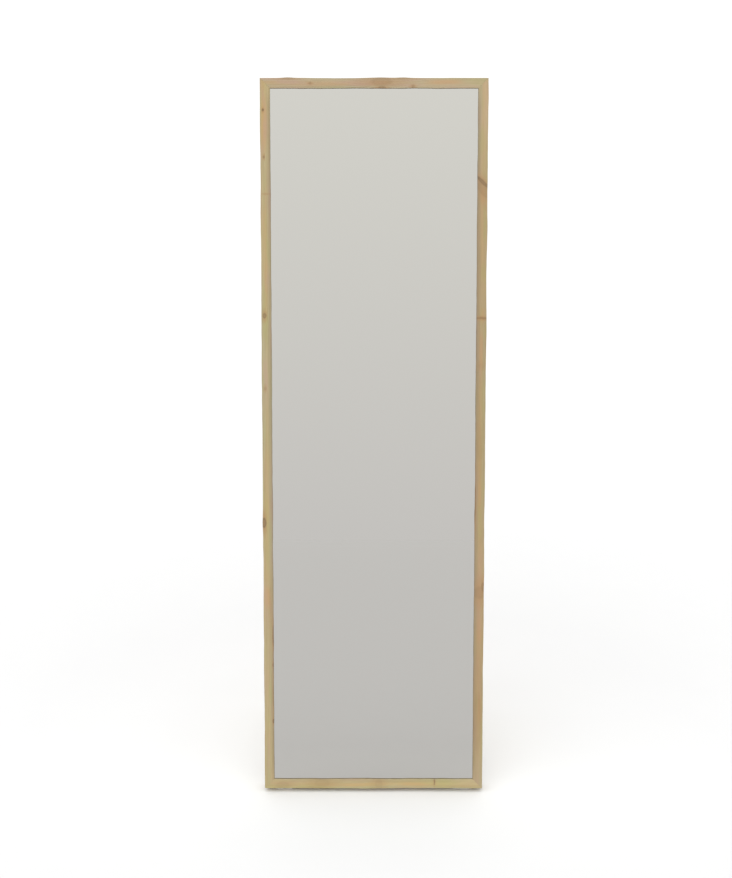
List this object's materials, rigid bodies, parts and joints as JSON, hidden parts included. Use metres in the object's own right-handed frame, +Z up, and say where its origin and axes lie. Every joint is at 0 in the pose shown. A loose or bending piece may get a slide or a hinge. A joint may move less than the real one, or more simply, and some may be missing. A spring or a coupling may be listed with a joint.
{
  "type": "easel-backed floor mirror",
  "caption": "Tall rectangular floor mirror in a narrow mitred pine frame, leaning back on a hinged folding easel with a webbing stay strap and hanging rings.",
  "frame": {"origin": "on the floor, at the middle of the box that holds the whole standing mirror", "axes": "+X to the right as one looks into the glass, +Y to the back where the easel stands, +Z up"},
  "size_m": [0.5, 0.4374, 1.5849],
  "materials": {
    "frame_pine": "knotty pine, oiled satin",
    "back_pine": "planed pine, oiled satin",
    "mirror": "silvered, polished",
    "hardboard": "tempered hardboard, mesh back",
    "foam_tape": "white foam tape",
    "webbing": "woven cotton webbing",
    "rubber": "matt pale grey rubber",
    "beech": "plain beech",
    "screw_steel": "zinc plated, slight yellow",
    "hinge_steel": "zinc plated, satin",
    "zinc_steel": "zinc plated, satin"
  },
  "bodies": {
    "mirror": {"left_stile": "frame_pine", "right_stile": "frame_pine", "top_rail": "frame_pine", "bottom_rail": "frame_pine", "mirror_glass": "mirror", "foam_tape_strips": "foam_tape", "backing_board": "hardboard", "glazing_tabs": "zinc_steel", "upper_cross_rail": "back_pine", "lower_cross_rail": "back_pine", "strap_clamp_plate": "zinc_steel", "strap_clamp_screws": "screw_steel", "stay_strap": "webbing", "angle_plate_screws": "screw_steel", "hinge_frame_screws": "screw_steel", "hanger_screws": "screw_steel", "bottom_left_corner_spline": "beech", "top_left_corner_spline": "beech", "bottom_right_corner_spline": "beech", "top_right_corner_spline": "beech", "bottom_left_angle_plate": "zinc_steel", "lower_left_angle_plate": "zinc_steel", "upper_left_angle_plate": "zinc_steel", "top_left_angle_plate": "zinc_steel", "bottom_right_angle_plate": "zinc_steel", "lower_right_angle_plate": "zinc_steel", "upper_right_angle_plate": "zinc_steel", "top_right_angle_plate": "zinc_steel", "left_wedge_foot": "rubber", "left_hanger_plate": "zinc_steel", "left_hinge_frame_leaf": "hinge_steel", "left_hinge_pin": "hinge_steel", "right_wedge_foot": "rubber", "right_hanger_plate": "zinc_steel", "right_hinge_frame_leaf": "hinge_steel", "right_hinge_pin": "hinge_steel"},
    "easel": {"left_leg": "back_pine", "right_leg": "back_pine", "easel_top_rail": "back_pine", "easel_low_rail": "back_pine", "easel_dowels": "beech", "hinge_leg_screws": "screw_steel", "left_leg_pad": "rubber", "right_leg_pad": "rubber", "left_hinge_leg_leaf": "hinge_steel", "right_hinge_leg_leaf": "hinge_steel"},
    "left_ring": {"left_hanging_ring": "zinc_steel"},
    "right_ring": {"right_hanging_ring": "zinc_steel"}
  },
  "joints": [
    {"name": "easel_fold", "type": "hinge", "parent": "mirror", "child": "easel", "pos_m": [0, 0.02856, 1.18416], "axis": [1, 0, 0], "range_deg": [-18, 0], "deforming": ["stay_strap"]},
    {"name": "left_ring_swing", "type": "hinge", "parent": "mirror", "child": "left_ring", "pos_m": [-0.182, 0.02864, 1.18922], "axis": [1, 0, 0], "range_deg": [-9, 170]},
    {"name": "right_ring_swing", "type": "hinge", "parent": "mirror", "child": "right_ring", "pos_m": [0.182, 0.02864, 1.18922], "axis": [1, 0, 0], "range_deg": [-9, 170]}
  ]
}
